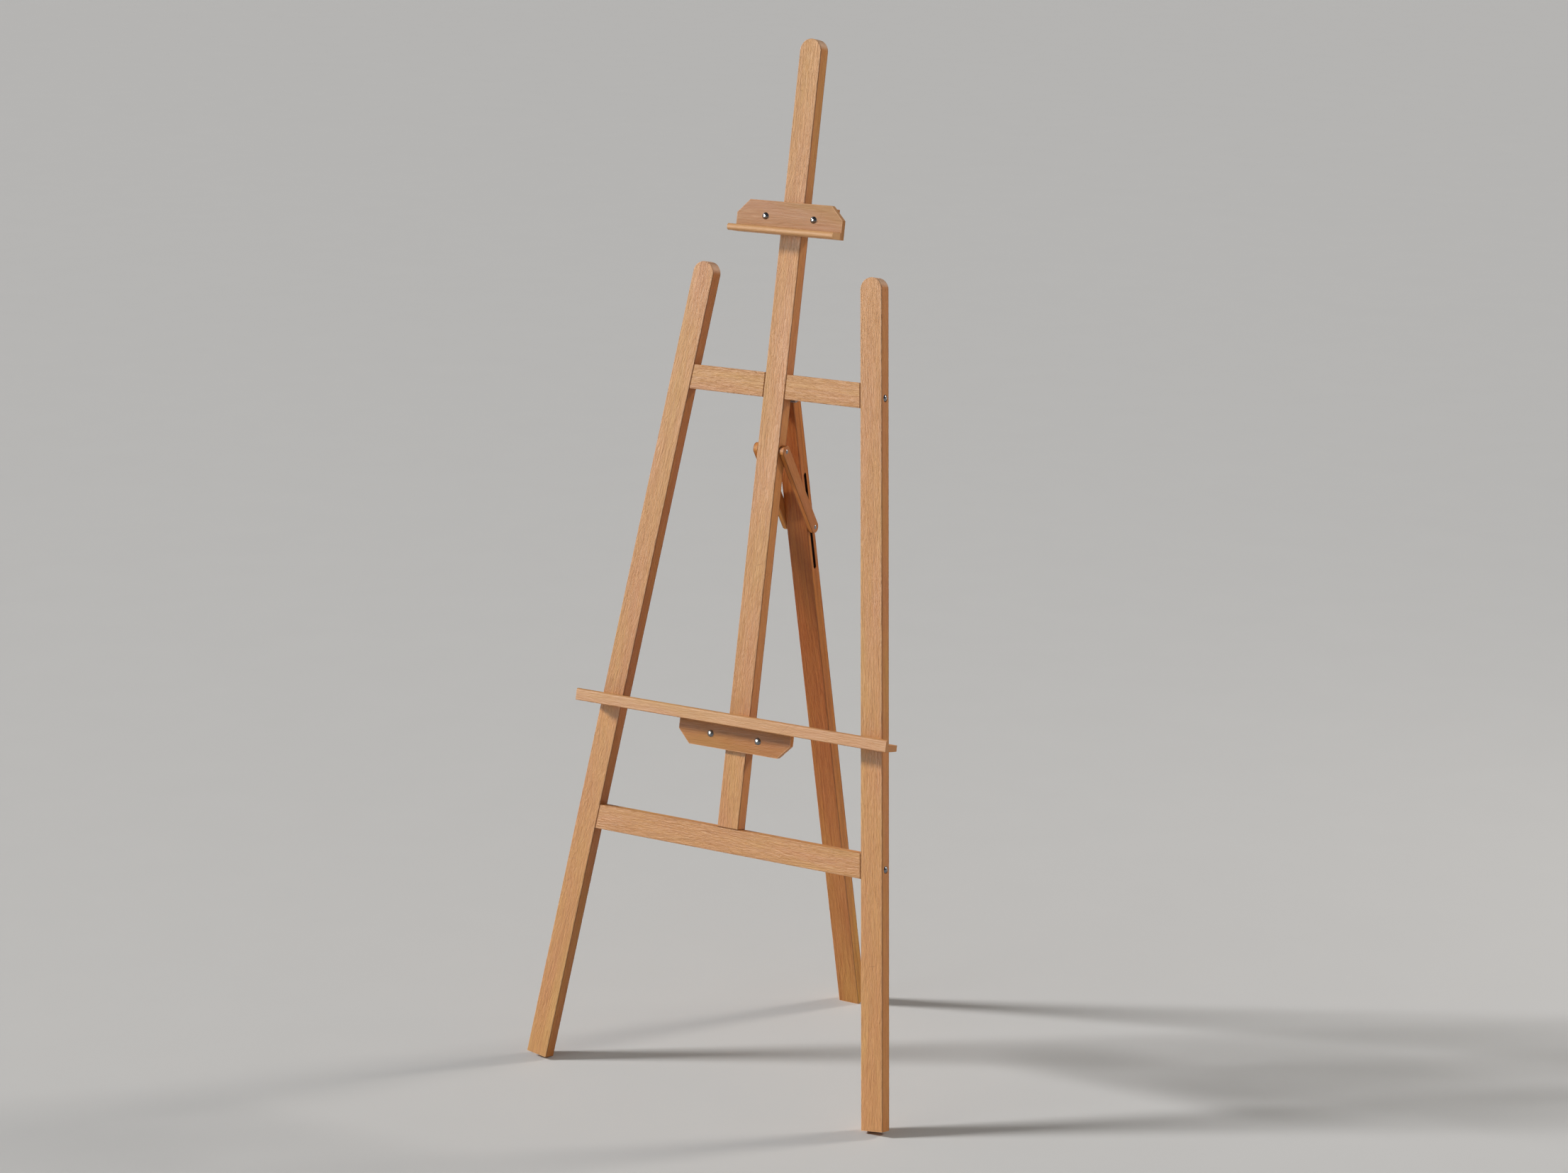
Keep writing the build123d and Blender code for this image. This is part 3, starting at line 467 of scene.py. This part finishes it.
BOARD_FRONT = 9.35
HIDDEN_BOARD = dict(profile="box", ridge=0.8)
DOWEL = dict(profile="section", ridge=0.5)
LINK = dict(profile="capsule", ridge=0.5, gloss=0.2, side_shading=LIT_SIDE_YELLOW)
CROSSBAR = dict(profile="box", ridge=1.3, side_shading=LIT_SIDE_BLUE, edge_shade_amount=0.15, tone=GOLD)

PIECES = {
    "front_leg_left": dict(profile="round_top", side_shading=DARKER_SHADED_SIDE, tone=GOLD, tone_amount=(1.0, 0.3)),
    "front_leg_right": dict(profile="round_top", tone=GOLD, tone_amount=(1.0, 0.5)),
    "mast": dict(profile="round_top", tone=GOLD, tone_amount=(0.45, 0.40)),
    "rear_leg": dict(profile="box", ridge=1.2, figure=2.6, gloss=0.2, side_shading=LIT_SIDE_YELLOW, tone_amount=(0.10, 0.82)),
    "upper_crossbar": dict(CROSSBAR, tone_amount=(0.2, 0.2)),
    "lower_crossbar": dict(CROSSBAR, tone_amount=(0.5, 0.5)),
    "link_left": dict(LINK, tone_amount=(0.25, 0.25)),
    "link_right": dict(LINK, tone_amount=(0.50, 0.50)),
    "upper_holder": dict(profile="board", board_face=BOARD_FRONT, cut=1, ridge=0.45, figure=0.6,
                         gloss=0.17, tint=(0.78, 0.80, 0.84)),
    "upper_back_board": HIDDEN_BOARD,
    "shelf_tray": dict(profile="section", ridge=0.45, figure=0.5, tone=SOFT, tone_amount=(1.0, 1.0)),
    "shelf_clamp_board": dict(profile="board", cut=-1, ridge=0.6, figure=0.6,
                              gloss=0.12, tint=(0.79, 0.75, 0.64)),
    "shelf_back_board": HIDDEN_BOARD,
    "crossbar_dowels": DOWEL,
    "mast_foot_dowels": DOWEL,
    "shelf_tray_dowels": DOWEL,
}
for name, options in PIECES.items():
    dress(name, beech(name, **options))

# painted reflection and shade: the bolts, links and hinge plates get a dark zinc colour that stands in for
# dark reflections and for the deep shade under the crossbar
bolt_zinc = zinc("bolts", 0.19, (0.25, 0.26, 0.28))
shelf_zinc = zinc("shelf_bolts", 0.31, (0.22, 0.23, 0.24))
plate_zinc = zinc("plate", 0.38, (0.26, 0.26, 0.27))
link_zinc = zinc("links", 0.34, (0.26, 0.27, 0.29))
cast_zinc = zinc("cast", 0.38, (0.58, 0.60, 0.62), 3.0)
for name in nodes_by_name:
    if name in PIECES:
        continue
    if "wing_nut" in name:
        dress(name, cast_zinc)
    elif name.startswith("link"):
        dress(name, link_zinc)
    elif name == "shelf_bolts":
        dress(name, shelf_zinc)
    elif "leaf" in name or "washer" in name or "hinge_pin" in name:
        dress(name, plate_zinc)
    else:
        dress(name, bolt_zinc)

bpy.context.scene.view_settings.view_transform = "Standard"

# ---------------------------------------------------------------- camera
CAMERA_AZIMUTH = math.radians(31.515)
CAMERA_ELEVATION = math.radians(14.867)
CAMERA_ROLL = math.radians(-0.541)
CAMERA_PLACE = Vector((3.2636, -5.2936, 2.5133))
CAMERA_LENS = 84.09

camera_data = bpy.data.cameras.new("camera")
camera_data.sensor_fit = "HORIZONTAL"
camera_data.sensor_width = 36.0
camera_data.lens = CAMERA_LENS
camera_data.clip_end = 200.0
camera = bpy.data.objects.new("camera", camera_data)
bpy.context.scene.collection.objects.link(camera)
toward = Vector((
    math.sin(CAMERA_AZIMUTH) * math.cos(CAMERA_ELEVATION),
    -math.cos(CAMERA_AZIMUTH) * math.cos(CAMERA_ELEVATION),
    math.sin(CAMERA_ELEVATION),
))
level = Vector((math.cos(CAMERA_AZIMUTH), math.sin(CAMERA_AZIMUTH), 0))
over = toward.cross(level)
side_axis = level * math.cos(CAMERA_ROLL) + over * math.sin(CAMERA_ROLL)
up_axis = over * math.cos(CAMERA_ROLL) - level * math.sin(CAMERA_ROLL)
camera_turn = Matrix((side_axis, up_axis, toward)).transposed().to_4x4()
camera.matrix_world = Matrix.Translation(CAMERA_PLACE) @ camera_turn
bpy.context.scene.camera = camera

# ---------------------------------------------------------------- floor
FLOOR_HALF = 60.0
floor_mesh = bpy.data.meshes.new("floor")
floor_corners = [(x * FLOOR_HALF, y * FLOOR_HALF, 0) for x, y in ((-1, -1), (1, -1), (1, 1), (-1, 1))]
floor_mesh.from_pydata(floor_corners, [], [(0, 1, 2, 3)])
floor = bpy.data.objects.new("floor", floor_mesh)
bpy.context.scene.collection.objects.link(floor)
floor_material, g, shader = new_material("floor_paper")
where = g.node("ShaderNodeTexCoord")
cloud = g.noise(where.outputs["Object"], (6.0, 6.0, 6.0), 2.0)
paper = g.ramp(cloud, ((0.3, (0.600, 0.603, 0.608)), (0.7, (0.606, 0.609, 0.614))))
g.feed(shader.inputs["Base Color"], paper)
shader.inputs["Roughness"].default_value = 0.9
floor_mesh.materials.append(floor_material)


# ---------------------------------------------------------------- studio light
def direction(azimuth, elevation):
    turn = math.radians(azimuth)
    rise = math.radians(elevation)
    return Vector((math.sin(turn) * math.cos(rise), -math.cos(turn) * math.cos(rise), math.sin(rise)))


def add_light(name, kind, energy, colour, azimuth, elevation):
    """A light that shines from the azimuth and elevation given, in degrees."""
    data = bpy.data.lights.new(name, kind)
    data.energy = energy
    data.color = colour
    light = bpy.data.objects.new(name, data)
    bpy.context.scene.collection.objects.link(light)
    light.rotation_euler = direction(azimuth, elevation).to_track_quat("Z", "Y").to_euler()
    return light


def sun_light(name, azimuth, elevation, strength, spread, colour):
    light = add_light(name, "SUN", strength, colour, azimuth, elevation)
    light.data.angle = math.radians(spread)


def area_light(name, azimuth, elevation, distance, width, height, power, colour, aim):
    light = add_light(name, "AREA", power, colour, azimuth, elevation)
    light.data.shape = "RECTANGLE"
    light.data.size = width
    light.data.size_y = height
    light.location = Vector(aim) + direction(azimuth, elevation) * distance
    light.visible_camera = False
    return light


sun_light("key", -63, 29, 3.35, 9, (1.0, 0.985, 0.96))
sun_light("rim", 140, 27, 1.1, 10, (1.0, 0.94, 0.86))
area_light("rim_near", 132, 14, 3.2, 0.8, 2.4, 11, (1.0, 0.92, 0.82), (0, 0, 0.9))
gloss = area_light("gloss", -30, 15, 5.0, 2.4, 2.4, 600, (1.0, 0.94, 0.81), (0, 0, 1.3))
gloss.visible_diffuse = False

# the sky lights the timber, and a brighter plain backdrop is what the camera sees of it
SKY = ((0.0, (0.30, 0.30, 0.31)), (0.25, (0.28, 0.285, 0.29)), (1.0, (0.14, 0.145, 0.15)))
SKY_STRENGTH = 0.45
BACKDROP = (0.56, 0.56, 0.57, 1)
BACKDROP_STRENGTH = 1.0

world = bpy.data.worlds.new("studio")
bpy.context.scene.world = world
world.use_nodes = True
world.node_tree.nodes.clear()
g = Graph(world.node_tree)
background = g.node("ShaderNodeBackground")
world_out = g.node("ShaderNodeOutputWorld")
world.node_tree.links.new(background.outputs[0], world_out.inputs[0])
where = g.node("ShaderNodeTexCoord")
_, _, rise = g.split(where.outputs["Generated"])
sky = g.ramp(g.span(rise, -0.1, 0.9, smooth=False), SKY)
backdrop = g.node("ShaderNodeLightPath").outputs["Is Camera Ray"]
g.feed(background.inputs["Color"], g.mix(backdrop, sky, BACKDROP))
strength = g.span(backdrop, 0.0, 1.0, SKY_STRENGTH, BACKDROP_STRENGTH, smooth=False)
g.feed(background.inputs["Strength"], strength)
